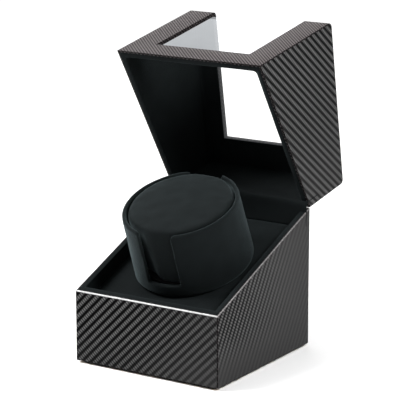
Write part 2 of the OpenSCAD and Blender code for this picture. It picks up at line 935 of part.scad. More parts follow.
// Outline of a spur gear with one tooth centred on the X axis
module gear_outline(teeth) {
    pitch_r = gear_m * teeth / 2;
    base_r = pitch_r * cos(pressure_a);
    root_r = pitch_r - dedendum;
    start_r = max(base_r, root_r);
    tip_roll = roll_to(base_r, pitch_r + addendum);
    start_roll = roll_to(base_r, start_r);
    pitch_point = involute(base_r, roll_to(base_r, pitch_r));
    half_a = (90 / teeth - backlash / 2 / pitch_r * 180 / PI) + atan2(pitch_point[1], pitch_point[0]);
    steps = 4;
    flank = [
        for (i = [0 : steps])
            turn_point(involute(base_r, start_roll + (tip_roll - start_roll) * i / steps), -half_a)
    ];
    root_a = atan2(flank[0][1], flank[0][0]);
    tooth = concat(
        [root_r * [cos(root_a), sin(root_a)]],
        flank,
        [for (i = [steps : -1 : 0]) [flank[i][0], -flank[i][1]]],
        [root_r * [cos(root_a), -sin(root_a)]]
    );
    polygon([for (k = [0 : teeth - 1], p = tooth) turn_point(p, k * 360 / teeth)]);
}

module gear(teeth, turn, z0, h)
    translate([0, 0, z0]) rotate([0, 0, turn]) linear_extrude(h) gear_outline(teeth);

// Twelve-sided hole whose flats stand clear of a pin of radius r
module pin_hole(r) translate([0, 0, -far / 2]) cylinder(r = (r + run_gap) / cos(15), h = far, $fn = 12);

function layer_z(i) = layer_top - i * gear_step - gear_t;

module output_gear()
    color(plastic_colour)
        on_axis()
            difference() {
                union() {
                    gear(output_teeth, 0, layer_z(0), gear_t);
                    translate([0, 0, layer_z(0) - 3])
                        cylinder(r = shaft_r + boss_wall, h = boss_h, $fn = 12);
                }
                translate([0, 0, -far / 2]) cylinder(r = (shaft_r + fit_gap) / cos(15), h = far, $fn = 12);
            }

// Wheel and pinion moulded in one, with spacers that hold them at their height
module compound_gear(at, turn, wheel_layer, pinion_layer)
    color(plastic_colour)
        on_axis()
            translate([at[0], at[1], 0])
                difference() {
                    union() {
                        gear(wheel_teeth, turn, layer_z(wheel_layer), gear_t);
                        gear(pinion_teeth, turn, layer_z(wheel_layer) + gear_t - overlap,
                            layer_z(pinion_layer) - layer_z(wheel_layer) + overlap);
                        translate([0, 0, case_floor + end_play])
                            cylinder(r = spacer_r, h = plate_under - case_floor - 2 * end_play, $fn = 12);
                    }
                    pin_hole(pin_r);
                }

module second_gear() compound_gear(second_at, second_turn, 1, 0);
module first_gear() compound_gear(first_at, first_turn, 2, 1);

module gear_pin_spots() for (at = [second_at, first_at]) translate([at[0], at[1], 0]) children();

module gear_pins()
    color(steel_colour)
        on_axis() gear_pin_spots() post(pin_r, case_floor - 1, plate_under + 1);

// ---- Gearbox ----

module case_screw_spots()
    for (x = [case_x0 + case_screw_in, case_x1 - case_screw_in], y = [case_y0 + case_screw_in, case_y1 - case_screw_in])
        translate([x, y, 0]) children();

module gearbox_housing()
    color(dark_plastic_colour)
        on_axis()
            difference() {
                union() {
                    difference() {
                        translate([case_x0, case_y0, case_floor + fit_gap])
                            cube([case_x1 - case_x0, case_y1 - case_y0, deck_under - case_floor - 2 * fit_gap]);
                        translate([case_x0 + plate_t, case_y0 + plate_t, case_floor - 1])
                            cube([case_x1 - case_x0 - 2 * plate_t, case_y1 - case_y0 - 2 * plate_t,
                                plate_under - case_floor + 1]);
                    }
                    case_screw_spots() post(case_boss_r, case_floor + fit_gap, deck_under - 1);
                    post(bush_boss_r, deck_under - 1, deck_under + 2);
                }
                post(bush_r + fit_gap, -far, far);
                case_screw_spots() post(case_screw_r + fit_gap, -far, far);
                gear_pin_spots() post(pin_r + fit_gap, case_floor, plate_under + 1 + fit_gap);
            }

module gearbox_cover()
    color(dark_plastic_colour)
        on_axis()
            difference() {
                translate([case_x0, case_y0, cover_under])
                    cube([case_x1 - case_x0, case_y1 - case_y0, plate_t]);
                post(shaft_r + run_gap, -far, far);
                case_screw_spots() post(case_screw_r + fit_gap, -far, far);
                gear_pin_spots() post(pin_r + fit_gap, case_floor - 1 - fit_gap, 0);
                translate([motor_at[0], motor_at[1], 0]) {
                    post(motor_boss_r + fit_gap, -far, far);
                    motor_screw_spots() post(motor_screw_r + fit_gap, -far, far);
                }
            }

module gearbox_screws()
    color(steel_colour)
        on_axis()
            case_screw_spots()
                translate([0, 0, cover_under]) rotate([180, 0, 0])
                    screw(small_head_r, head_h, case_screw_r, deck_under - cover_under + deck_board_t - tip_room);

module spindle_bush()
    color([0.80, 0.64, 0.32])
        on_axis()
            difference() {
                post(bush_r, plate_under + 0.1, bush_top);
                post(shaft_r + run_gap, -far, far);
            }

// ---- Motor ----

module on_motor() on_axis() translate([motor_at[0], motor_at[1], 0]) children();

module motor_screw_spots()
    for (s = [-1, 1])
        rotate([0, 0, motor_bearing + 90]) translate([s * motor_screw_x, 0, 0]) children();

module motor_can()
    color(steel_colour)
        on_motor()
            difference() {
                union() {
                    post(motor_r, motor_under, cover_under - fit_gap);
                    post(motor_boss_r, cover_under - 1, cover_under + motor_boss_h);
                }
                post(motor_r - can_t, motor_under - 1, cover_under - 1);
                post(motor_pin_r + run_gap, -far, far);
                motor_screw_spots() post(motor_screw_r + fit_gap, cover_under - 2, cover_under + 1);
            }

module motor_magnet()
    color([0.25, 0.25, 0.27])
        on_motor()
            difference() {
                post(motor_r - can_t - fit_gap, motor_under + 3, cover_under - 3);
                post(motor_r - can_t - magnet_t, -far, far);
            }

module motor_end_cap()
    color(plastic_colour)
        on_motor()
            difference() {
                union() {
                    post(motor_r - can_t - fit_gap, motor_under, motor_under + end_cap_t);
                    post(motor_boss_r, motor_under - 1.4, motor_under + 0.1);
                }
                post(motor_pin_r + run_gap, motor_under - 0.6, far);
            }

module motor_screws()
    color(steel_colour)
        on_motor()
            motor_screw_spots()
                translate([0, 0, case_floor])
                    screw(motor_screw_head, motor_screw_head_h, motor_screw_r, plate_t + motor_screw_bite);

module motor_shaft()
    color(steel_colour)
        on_motor() post(motor_pin_r, motor_under - 0.5, layer_top - 2 * gear_step + 0.2);

// Three-pole core with a commutator on its lower side
module motor_armature()
    color([0.55, 0.33, 0.18])
        on_motor()
            difference() {
                union() {
                    post(armature_r, motor_under + armature_at, motor_under + armature_at + armature_l);
                    post(2.2, motor_under + end_cap_t + 0.4, motor_under + 4.6);
                }
                for (turn = [0, 120, 240])
                    rotate([0, 0, turn])
                        translate([slot_in, -slot_across / 2, motor_under + armature_at - 1])
                            cube([armature_r, slot_across, armature_l + 2]);
                post(motor_pin_r + fit_gap, -far, far);
            }

module motor_pinion()
    color([0.80, 0.64, 0.32])
        on_motor()
            difference() {
                gear(pinion_teeth, motor_turn, layer_z(2), gear_t);
                translate([0, 0, -far / 2]) cylinder(r = (motor_pin_r + fit_gap) / cos(15), h = far, $fn = 12);
            }

// ---- Switch, jack and wiring on the rear wall ----

module panel_holes()
    translate([0, 0, panel_z]) {
        translate([switch_x, 0, 0]) bar_y(thread_r + 0.1, inner_y - 2, far);
        translate([jack_x, 0, 0]) bar_y(jack_r + 0.1, inner_y - 2, far);
    }

module on_switch() carcass() translate([switch_x, 0, panel_z]) children();
module on_jack() carcass() translate([jack_x, 0, panel_z]) children();

module control_board()
    color([0.10, 0.35, 0.18])
        carcass()
            translate([switch_x - pcb_w / 2 - 4, pcb_y, panel_z - pcb_h / 2 - 1]) cube([pcb_w, pcb_t, pcb_h]);

// Controller chip, two capacitors and a plug socket on the board's inner face
module board_components()
    color(dark_plastic_colour)
        carcass()
            translate([switch_x - 4, pcb_y - fit_gap, panel_z - 1]) {
                translate([-5, -1.6, 4]) cube([10, 1.6, 6]);
                for (x = [-17, -11]) translate([x, 0, 9]) rotate([90, 0, 0]) cylinder(r = 2.5, h = 7);
                translate([8, -5, -11]) cube([10, 5, 6]);
            }

module mode_switch()
    color(dark_plastic_colour)
        on_switch()
            difference() {
                union() {
                    translate([-switch_body / 2, inner_y - switch_d + fit_gap, -switch_body / 2])
                        cube([switch_body, switch_d - 2 * fit_gap, switch_body]);
                    bar_y(thread_r, inner_y - 1, box_d / 2 + nut_t + 0.4);
                }
                bar_y(mode_shaft_r + run_gap, inner_y - 5, far);
            }

module mode_shaft()
    color(steel_colour)
        on_switch() bar_y(mode_shaft_r, inner_y - 4.9, knob_y + knob_l - 2);

// Ribbed knob with a pointer groove that faces up at rest
module mode_knob()
    color(dark_plastic_colour)
        on_switch()
            difference() {
                translate([0, knob_y, 0])
                    rotate([-90, 0, 0])
                        rotate_extrude()
                            polygon([
                                [0, 0],
                                [knob_r, 0],
                                [knob_r - knob_draft, knob_l - knob_bevel],
                                [knob_r - 1, knob_l],
                                [0, knob_l]
                            ]);
                bar_y(mode_shaft_r + fit_gap, 0, knob_y + knob_l - 1.8);
                for (i = [0 : knob_flutes - 1])
                    rotate([0, (i + 0.5) * 360 / knob_flutes, 0])
                        translate([knob_r, 0, 0]) bar_y(flute_r, knob_y + 1, knob_y + knob_l + 1);
                translate([-pointer_w / 2, knob_y + knob_l - pointer_depth, 2]) cube([pointer_w, 1, pointer_l]);
            }

module dc_jack()
    color(dark_plastic_colour)
        on_jack()
            difference() {
                union() {
                    bar_y(jack_r, pcb_y + 1, jack_mouth);
                    bar_y(jack_r + jack_flange, box_d / 2 + fit_gap, jack_mouth);
                }
                bar_y(jack_bore_r, jack_mouth - jack_depth, far);
                bar_y(jack_tail_r + fit_gap, jack_mouth - jack_depth - 3, far);
            }

module jack_pin()
    color(steel_colour)
        on_jack() {
            bar_y(jack_pin_r, jack_mouth - jack_depth + fit_gap, jack_mouth - 0.6);
            bar_y(jack_tail_r, jack_mouth - jack_depth - 2.9, jack_mouth - jack_depth + 1);
        }

// The switch's nut outside the panel and the jack's nut inside it
module panel_nuts()
    color(steel_colour) {
        on_switch() hex_nut(box_d / 2 + fit_gap, switch_nut_r, thread_r + fit_gap);
        on_jack() hex_nut(inner_y - nut_t - fit_gap, jack_nut_r, jack_r + fit_gap);
    }

module hex_nut(y, r, hole_r)
    difference() {
        translate([0, y, 0]) rotate([-90, 0, 0]) cylinder(r = r, h = nut_t, $fn = 6);
        bar_y(hole_r, 0, far);
    }

// Two wires from the motor and two from the jack, all to the control board
module lead_wires()
    color([0.65, 0.10, 0.10])
        carcass() {
            for (s = [-1, 1]) {
                tail = on_axis_point([motor_at[0] + s * lead_x, motor_at[1], motor_under - 0.05]);
                bend = on_axis_point([motor_at[0] + s * lead_x, motor_at[1], motor_under - 5]);
                wire([
                    tail,
                    bend,
                    [motor_at[0] + s * lead_x, pcb_y - 5, panel_z - 3],
                    [motor_at[0] + s * lead_x, pcb_y - 0.05, panel_z - 3]
                ]);
                wire([
                    [jack_x, pcb_y + 0.95, panel_z + s * 2],
                    [jack_x, pcb_y - 3, panel_z + s * 2],
                    [switch_x - board_lead_x, pcb_y - 3, panel_z + s * 2 - 5],
                    [switch_x - board_lead_x, pcb_y - 0.05, panel_z + s * 2 - 5]
                ]);
            }
        }

// ---- Assembly ----

base_front_board();
base_rear_board();
base_left_board();
base_right_board();
base_floor_board();
corner_blocks();
base_leather();
base_lining();
hinge_flap();
deck_battens();
deck_board();
deck_velvet();
base_magnets();
base_felt();
floor_screws();
hinge_base_leaves();
hinge_pins();
hinge_base_screws();
gearbox_housing();
gearbox_cover();
gearbox_screws();
gear_pins();
spindle_bush();
motor_can();
motor_magnet();
motor_end_cap();
motor_screws();
control_board();
board_components();
mode_switch();
panel_nuts();
dc_jack();
jack_pin();
lead_wires();
lid_front_frame();
lid_top_frame();
lid_left_board();
lid_right_board();
lid_rear_board();
lid_leather();
lid_lining();
window_pane();
lid_magnets();
hinge_lid_leaves();
hinge_lid_screws();
cup();
cup_hub();
hub_screws();
output_shaft();
shaft_screw();
output_gear();
cushion();
cushion_base();
second_gear();
first_gear();
motor_shaft();
motor_armature();
motor_pinion();
mode_shaft();
mode_knob();
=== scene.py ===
"""Leather relief, cloth, flock and materials of the watch winder box, built round its CAD frame.

Units are metres, in the CAD frame: X to the right, Y to the rear, Z up. The lid's pieces are drawn
shut, where its faces are square to the axes, and then swung open. The cup's are drawn along its own axis.
"""

import json
import math

import bmesh
import bpy
from mathutils import Matrix, Vector, noise


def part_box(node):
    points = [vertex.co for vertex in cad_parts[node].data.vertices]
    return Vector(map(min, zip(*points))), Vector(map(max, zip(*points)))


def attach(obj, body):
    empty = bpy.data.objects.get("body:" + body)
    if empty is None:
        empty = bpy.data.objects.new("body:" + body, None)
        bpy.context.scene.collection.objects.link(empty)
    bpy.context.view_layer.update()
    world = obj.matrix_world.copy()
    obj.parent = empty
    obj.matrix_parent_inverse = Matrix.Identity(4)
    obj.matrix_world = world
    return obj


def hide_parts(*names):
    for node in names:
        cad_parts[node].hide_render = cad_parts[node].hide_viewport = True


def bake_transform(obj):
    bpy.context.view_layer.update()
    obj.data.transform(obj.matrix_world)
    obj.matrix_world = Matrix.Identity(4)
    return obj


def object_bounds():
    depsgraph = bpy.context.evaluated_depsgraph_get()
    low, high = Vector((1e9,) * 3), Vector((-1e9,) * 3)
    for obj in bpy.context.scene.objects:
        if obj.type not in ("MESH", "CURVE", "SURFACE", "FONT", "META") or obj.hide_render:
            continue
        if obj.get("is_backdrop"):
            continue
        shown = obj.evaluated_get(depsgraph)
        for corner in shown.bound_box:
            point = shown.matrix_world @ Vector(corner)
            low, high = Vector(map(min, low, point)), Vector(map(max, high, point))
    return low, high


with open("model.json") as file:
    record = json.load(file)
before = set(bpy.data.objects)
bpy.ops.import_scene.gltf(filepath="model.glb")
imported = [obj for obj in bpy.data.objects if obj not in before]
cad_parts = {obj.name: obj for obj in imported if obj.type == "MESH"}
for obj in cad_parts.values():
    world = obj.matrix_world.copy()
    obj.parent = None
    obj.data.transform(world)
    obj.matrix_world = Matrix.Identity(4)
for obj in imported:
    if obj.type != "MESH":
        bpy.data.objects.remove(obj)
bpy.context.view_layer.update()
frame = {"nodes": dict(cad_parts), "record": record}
NODES = frame["nodes"]
RECORD = frame["record"]
JOINTS = {j["name"]: j for j in RECORD["behaviour"]["joints"]}
MM = 0.001
NOISE_SEED = 2  # without one, mathutils.noise takes its offsets from the clock
X, Y, Z = Vector((1, 0, 0)), Vector((0, 1, 0)), Vector((0, 0, 1))

# Embossed twill of the leather
TWILL_PITCH = 4.5 * MM  # across the ridges
TWILL_CELLS = 8  # cuts across one ridge
TWILL_DEPTH = 0.26 * MM
TWILL_RISE = 45  # degrees, of the ridges on most sides
SIDE_RISE = {"right": 58, "left": 122}  # on the base's sides
RIB_PITCH = 1.9 * MM  # fine ribs across each ridge
FINE_PITCH = 2.4 * MM  # weave of the leather between deep ridges

# Folds of the leather
FOLD_RADIUS = 0.65 * MM  # where it turns an outside edge
WINDOW_RADIUS = 0.35 * MM  # where it turns into an opening
TURNED_EDGE = 15 * MM  # shortest edge of an opening that it turns round
RIM_FOLD, CORNER_FOLD = -1, -2  # marks of folded faces
PAINTED_SHADE_TURNED_IN = -0.85  # how dark the painted shade is on faces that belong to no side, such as the rims and the cut edges of openings
SKIN_GAP = 0.05 * MM  # faces this near the box's outside belong to it

# Soft sheets
SHEET_STEP = 4 * MM  # between cuts across a sheet
SHEET_PATCH = 9 * MM * MM  # smallest face that is cut
NAP_WAVE = 0.12 * MM  # unevenness of glued velvet
CORNER_SAG = 2.2 * MM  # velvet bridges an inside corner
SAG_LENGTH = 25 * MM  # shortest corner that it bridges
SHEET_EDGE = 0.22 * MM  # softness of a cut edge
EDGE_LENGTH = 8 * MM  # shortest edge that is softened
DECK_EDGE = 0.3 * MM
FLAP_PAST = 0.2 * MM  # the hinge cloth ends this far past the base's side
FELT_EDGE = 0.4 * MM
FELT_BAND = 5 * MM  # its outline lies within this of its ends
FELT_STEP = 5 * MM
FELT_PATCH = 20 * MM * MM
FELT_WAVE = 0.08 * MM

# Cup
CUP_VOXEL = 0.7 * MM
CUP_TURN = 3  # degrees, of the notches from the front
NOTCH_HALF = 12.5 * MM
CORNER_ROUND = 2.5 * MM  # of the rim at the notches
FLOCK_WAVE = 0.1 * MM

# Cushion
PAD_VOXEL = 2.6 * MM
PAD_SHRINK = 0.5 * MM  # before it is blown up
PAD_MOVE = 3.2 * MM  # most that it may swell
PAD_RISE = 1.4 * MM  # most that its crown may rise
PAD_WAVE = 0.2 * MM
CUSHION_FRAMES = 20  # of the cloth simulation
TUCK = 5 * MM  # pulled back from the front notch's left side
TUCK_CROWN = 0.25  # share of that at the crown
TUCK_START = (-3 * MM, -14 * MM)  # across the notches, from none to all
TUCK_END = (-34 * MM, -16 * MM)  # and the same from the other side

# Window
PANE_SQUARE = 0.015  # share of light that it reflects when faced squarely, as a painted reflection
PANE_SLANTED = 0.98  # more of it at the steepest slant
PANE_CLEAR = 0.98  # share that passes where nothing is reflected
PANE_GLARE = 2.0  # brightness of the surroundings in its painted reflection

# Studio
FLOOR_GLOW = 0.42  # far from the box
BACKDROP = 1.0  # brightness of the world as the camera sees it
WORLD_LIGHT = 0.224  # and as it lights the box


def lid_matrix():
    """Carries the shut lid's coordinates to its open rest pose."""
    hinge = JOINTS["lid_hinge"]
    pivot = Vector(hinge["pos_m"])
    shut = Matrix.Rotation(math.radians(hinge["range_deg"][0]), 4, Vector(hinge["axis"]))
    return (Matrix.Translation(pivot) @ shut @ Matrix.Translation(-pivot)).inverted()


def cup_matrix():
    """Carries coordinates along the cup's axis, Z up it, to the row frame."""
    spin = JOINTS["turntable_spin"]
    lean = Z.rotation_difference(Vector(spin["axis"])).to_matrix().to_4x4()
    return Matrix.Translation(Vector(spin["pos_m"])) @ lean


noise.seed_set(NOISE_SEED)
LID = lid_matrix()
CUP = cup_matrix()


# ---- Mesh helpers ----


def cad_copy(node, to_row=Matrix()):
    """A CAD node's shape as a welded bmesh with whole flat faces, in the frame that to_row leaves."""
    bm = bmesh.new()
    bm.from_mesh(NODES[node].data)
    bmesh.ops.transform(bm, matrix=to_row.inverted(), verts=bm.verts)
    bmesh.ops.remove_doubles(bm, verts=bm.verts, dist=2e-6)
    bmesh.ops.dissolve_limit(bm, angle_limit=math.radians(1), verts=bm.verts, edges=bm.edges)
    bmesh.ops.recalc_face_normals(bm, faces=bm.faces)
    return bm


def limits(bm):
    """Lowest and highest corners of a bmesh."""
    points = [v.co for v in bm.verts]
    low = Vector([min(p[i] for p in points) for i in range(3)])
    high = Vector([max(p[i] for p in points) for i in range(3)])
    return low, high


def new_object(name, data):
    """Puts a mesh, a lamp or a camera in the scene."""
    obj = bpy.data.objects.new(name, data)
    bpy.context.scene.collection.objects.link(obj)
    return obj


def to_object(bm, name, to_row, material, sharp=50):
    """Turns a bmesh into a smooth-shaded object in the row frame."""
    bmesh.ops.transform(bm, matrix=to_row, verts=bm.verts)
    mesh = bpy.data.meshes.new(name)
    bm.to_mesh(mesh)
    bm.free()
    obj = new_object(name, mesh)
    smooth(obj, sharp)
    mesh.materials.append(material)
    return obj


def smooth(obj, sharp=50):
    """Smooth shading, with edges of more than the angle kept sharp."""
    obj.data.polygons.foreach_set("use_smooth", [True] * len(obj.data.polygons))
    obj.data.set_sharp_from_angle(angle=math.radians(sharp))


def place(obj, body, node):
    """The piece stands for a CAD node and rides on that node's body."""
    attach(obj, body)
    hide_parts(node)


def hull_faces(bm):
    """Flat faces with the whole shape behind them."""
    points = [v.co.copy() for v in bm.verts]
    found = set()
    for face in bm.faces:
        level = face.normal.dot(face.verts[0].co)
        if max(face.normal.dot(p) for p in points) < level + 0.02 * MM:
            found.add(face)
    return found


def round_edges(bm, edges, radius, segments=3):
    """Rounds edges and returns what the operator made."""
    return bmesh.ops.bevel(
        bm, geom=edges, offset=radius, segments=segments, profile=0.5,
        affect="EDGES", clamp_overlap=True,
    )


def convex_edges(bm, angle=30):
    """Edges that stick out by more than the angle."""
    limit = math.radians(angle)
    return [e for e in bm.edges if e.is_manifold and e.calc_face_angle_signed() > limit]


def concave_edges(bm, angle=30):
    """Inside corners of more than the angle."""
    limit = math.radians(angle)
    return [e for e in bm.edges if e.is_manifold and e.calc_face_angle_signed() < -limit]


def slice_faces(bm, faces, across, levels):
    """Cuts faces by a plane across a direction at each level, halving the set each time."""
    if not levels or not faces:
        return faces
    middle = len(levels) // 2
    verts = dict.fromkeys(v for f in faces for v in f.verts)
    edges = dict.fromkeys(e for f in faces for e in f.edges)
    made = bmesh.ops.bisect_plane(
        bm, geom=[*verts, *edges, *faces], dist=1e-7,
        plane_co=across * levels[middle], plane_no=across,
    )
    cut = [g for g in made["geom"] if isinstance(g, bmesh.types.BMFace)]
    below = [f for f in cut if f.calc_center_median().dot(across) < levels[middle]]
    above = [f for f in cut if f.calc_center_median().dot(across) >= levels[middle]]
    return (slice_faces(bm, below, across, levels[:middle])
            + slice_faces(bm, above, across, levels[middle + 1:]))


def levels_over(faces, across, step, start=0.0):
    """Evenly spaced levels that cross the faces, counted from start."""
    heights = [v.co.dot(across) for f in faces for v in f.verts]
    if not heights:
        return []
    first = math.floor((min(heights) - start) / step) + 1
    last = math.ceil((max(heights) - start) / step)
    return [start + step * i for i in range(first, last)]


# ---- Leather ----


def sheet_sides(low, high, names):
    """Each side's outward direction, the sheet's two directions on it and its lengths at the origin.

    The sheet runs round the box from the front by the right, and up over the front edge onto the top.
    """
    depth = high.y - low.y
    every = {
        "front": (-Y, X, Z, 0.0, 0.0),
        "right": (X, Y, Z, high.x - low.y, 0.0),
        "rear": (Y, -X, Z, 2 * high.x + depth, 0.0),
        "left": (-X, -Y, Z, low.x + low.y, 0.0),
        "top": (Z, X, Y, 0.0, high.z - low.y),
        "under": (-Z, X, -Y, 0.0, low.z + low.y),
    }
    return {n: every[n] for n in names}


def twill(side, angle):
    """Directions across and along ridges that rise by an angle, with the sheet's lengths at the origin."""
    _, around, up, around_0, up_0 = side
    rise, run = math.sin(math.radians(angle)), math.cos(math.radians(angle))
    across, along = around * rise - up * run, around * run + up * rise
    return across, along, around_0 * rise - up_0 * run, around_0 * run + up_0 * rise


def ridge(across):
    """Height of the relief, 0 in a groove to 1 on a ridge."""
    wave = 0.5 + 0.5 * math.cos(2 * math.pi * across / TWILL_PITCH)
    return min(1.0, 1.25 * wave) ** 0.8


def paint_sides(bm, low, high, names):
    """Numbers the flat outside faces by their side in the layer "side", from 1."""
    layer = bm.faces.layers.int["side"]
    for number, side in enumerate(sheet_sides(low, high, names).values(), 1):
        out = side[0]
        limit = max(low.dot(out), high.dot(out))
        for face in bm.faces:
            inside = limit - face.calc_center_median().dot(out)
            if face.normal.dot(out) > 0.999 and inside < SKIN_GAP:
                face[layer] = number


def emboss(bm, low, high, names, depth, angles):
    """Presses the twill into the flat outside faces of a wrap, as deep as depth(name, point) says."""
    layer = bm.faces.layers.int["side"]
    for number, (name, side) in enumerate(sheet_sides(low, high, names).items(), 1):
        out = side[0]
        across, along, across_0, _ = twill(side, angles.get(name, TWILL_RISE))
        skin = [f for f in bm.faces if f[layer] == number]
        if not any(depth(name, v.co) > 0 for f in skin for v in f.verts):
            continue
        ridge_cuts = levels_over(skin, across, TWILL_PITCH / TWILL_CELLS, -across_0)
        skin = slice_faces(bm, skin, across, ridge_cuts)
        skin = slice_faces(bm, skin, along, levels_over(skin, along, 3 * RIB_PITCH))
        for v in {v for f in skin for v in f.verts}:
            if all(f[layer] == number for f in v.link_faces):
                groove = TWILL_DEPTH * (1 - ridge(v.co.dot(across) + across_0))
                v.co -= out * groove * depth(name, v.co)


def mark_weave(bm, low, high, names, depth, angles):
    """Stores at each face corner the sheet's lengths across and along the ridges, and how deep they are.

    The layer "fold" is 1 where the sheet turns over the base's front rim, which gets a painted highlight,
    less on the side rims, -1 where it turns over any other edge, and a little above that where it faces
    inwards; values below 0 darken the colour as painted shade.
    """
    weave = bm.loops.layers.float_vector.new("weave")
    fold = bm.loops.layers.float.new("fold")
    layer = bm.faces.layers.int["side"]
    sides = sheet_sides(low, high, ("front", "right", "rear", "left", "top", "under"))
    facing = {n: (side[0], *twill(side, angles.get(n, TWILL_RISE))) for n, side in sides.items()}
    for face in bm.faces:
        name = max(facing, key=lambda n: face.normal.dot(facing[n][0]))
        if face[layer] > 0:
            name = names[face[layer] - 1]
        _, across, along, across_0, along_0 = facing[name]
        # rim folds get a painted highlight; other folds and faces turned inwards get painted shade
        folded = {RIM_FOLD: rim_highlight_share(face.normal), CORNER_FOLD: -1.0, 0: PAINTED_SHADE_TURNED_IN}.get(face[layer], 0.0)
        for loop in face.loops:
            spot = loop.vert.co
            deep = depth(name, spot) if face[layer] > 0 else 0.0
            loop[weave] = Vector((spot.dot(across) + across_0, spot.dot(along) + along_0, deep))
            loop[fold] = folded


def rim_highlight_share(normal):
    """Strength of the rim's painted highlight and of its smoother finish: full at the front, less on the
    sides and hardly at the rear.
    """
    to_side = min(1.4 * abs(normal.x), 1)
    to_rear = max(normal.y, 0)
    return 1 - 0.65 * to_side - 0.8 * to_rear


def leather_wrap(name, node, to_row, names, body, depth, angles):
    """Leather glued round a half of the box, with folded edges and the twill pressed in."""
    bm = cad_copy(node, to_row)
    bm.faces.layers.int.new("side")
    low, high = limits(bm)
    fold_outside(bm, high.y, rim_highlight=body == "base")
    fold_openings(bm)
    paint_sides(bm, low, high, names)
    emboss(bm, low, high, names, depth, angles)
    mark_weave(bm, low, high, names, depth, angles)
    obj = to_object(bm, name, to_row, LEATHER, sharp=40)
    place(obj, body, node)


def fold_outside(bm, rear, rim_highlight):
    """Rounds the outside edges, except the sloping rim's at the rear, and marks the folds.

    On the base the rim's folds are marked for a painted highlight, and all other folds for painted shade.
    """
    layer = bm.faces.layers.int["side"]
    outside = hull_faces(bm)
    slanted = [f for f in outside if abs(f.normal.y) > 0.1 and abs(f.normal.z) > 0.1]
    largest = max(slanted, key=lambda f: f.calc_area())
    rim_out = largest.normal.copy()
    rim_level = rim_out.dot(largest.verts[0].co)
    rim = {f for f in slanted if f.normal.dot(rim_out) > 0.999}
    folds = [
        e for e in convex_edges(bm) if all(f in outside for f in e.link_faces)
        and not (min(v.co.y for v in e.verts) > rear - 0.1 * MM and rim.intersection(e.link_faces))
    ]
    for face in round_edges(bm, folds, FOLD_RADIUS)["faces"]:
        at_rim = rim_level - rim_out.dot(face.calc_center_median()) < FOLD_RADIUS
        # on the base the rim's folds get a painted highlight, every other fold painted shade
        face[layer] = RIM_FOLD if rim_highlight and at_rim else CORNER_FOLD


def fold_openings(bm):
    """Rounds the long edges between the outside and the inner faces."""
    outside = hull_faces(bm)
    turned = [
        e for e in convex_edges(bm, 60)
        if sum(f in outside for f in e.link_faces) == 1 and e.calc_length() > TURNED_EDGE
    ]
    round_edges(bm, turned, WINDOW_RADIUS, 2)


def share(value, start, end):
    """Smoothly from 0 at start to 1 at end."""
    t = min(1.0, max(0.0, (value - start) / (end - start)))
    return t * t * (3 - 2 * t)


def base_twill(side, spot):
    """The base's twill is deep at the upper front and shallower towards the top rear and the bottom.

    The relief is real, but the depth also sets how light the ridges are painted, so this is partly painted
    light:
    the ridges are painted lightest where the key light from the upper front left falls.
    """
    if side == "front":
        to_right = share(spot.x, -30 * MM, 60 * MM)
        to_bottom = share(spot.z, 35 * MM, 0)
        return 1 - 0.5 * to_right - 0.3 * to_bottom
    if side in ("right", "left"):
        to_front = share(spot.y, 45 * MM, -45 * MM)
        to_top = share(spot.z, 8 * MM, 40 * MM)
        return 0.08 + 0.6 * to_front * to_top
    return 0.8


def lid_twill(side, spot):
    """The lid's frame round the window has the fine ribs only."""
    if side in ("front", "top"):
        return 0.0
    # towards the rear the side ridges are shallower and painted darker: partly real relief, partly painted
    # shade
    to_rear = share(spot.y, -50 * MM, 60 * MM)
    return 0.85 - 0.35 * to_rear


# ---- Velvet ----


def ruffle(bm, amount, scale, seed):
    """Moves points by smooth noise, both sides of a thin sheet together."""
    shift = Vector((seed, 2 * seed, 3 * seed))
    for v in bm.verts:
        v.co += noise.noise_vector(v.co / scale + shift) * amount


def velvet_sheet(name, node, to_row, body, seed, edge=SHEET_EDGE, sag=CORNER_SAG):
    """Velvet glued to the boards: soft at its edges, bridging the inside corners, slightly uneven."""
    bm = cad_copy(node, to_row)
    if sag:
        inside = [e for e in concave_edges(bm, 60) if e.calc_length() > SAG_LENGTH and faces_axis(e)]
        round_edges(bm, inside, sag, 4)
    rims = [e for e in convex_edges(bm, 60) if e.calc_length() > EDGE_LENGTH]
    round_edges(bm, rims, edge, 2)
    for across in (X, Y, Z):
        level = [f for f in bm.faces if abs(f.normal.dot(across)) < 0.9]
        wide = [f for f in level if f.calc_area() > SHEET_PATCH]
        slice_faces(bm, wide, across, levels_over(wide, across, SHEET_STEP))
    ruffle(bm, NAP_WAVE, 14 * MM, seed)
    obj = to_object(bm, name, to_row, VELVET)
    place(obj, body, node)


def faces_axis(edge):
    """True where an inside corner's two faces look into the box, towards its axis."""
    middle = (edge.verts[0].co + edge.verts[1].co) / 2
    inward = -Vector((middle.x, middle.y, 0))
    if inward.length < 20 * MM:
        return False
    return all(f.normal.dot(inward) > -0.2 * inward.length for f in edge.link_faces)


def hinge_cloth():
    """Velvet flap behind the hinges, with one edge on the base and the other on the lid."""
    bm = cad_copy("hinge_flap")
    flap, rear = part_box("hinge_flap"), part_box("base_leather")
    widen = (rear[1].x + FLAP_PAST) / flap[1].x
    bmesh.ops.scale(bm, vec=(widen, 1, 1), verts=bm.verts)
    long = [f for f in bm.faces if abs(f.normal.x) < 0.5]
    slice_faces(bm, long, X, levels_over(long, X, SHEET_STEP))
    ruffle(bm, 0.5 * NAP_WAVE, 9 * MM, seed=6)
    obj = to_object(bm, "hinge_cloth", Matrix(), VELVET)
    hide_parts("hinge_flap")
    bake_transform(obj)


# ---- Cup and cushion ----


def evaluated(obj):
    """The mesh that an object's modifiers make."""
    bpy.context.view_layer.update()
    graph = bpy.context.evaluated_depsgraph_get()
    return bpy.data.meshes.new_from_object(obj.evaluated_get(graph))


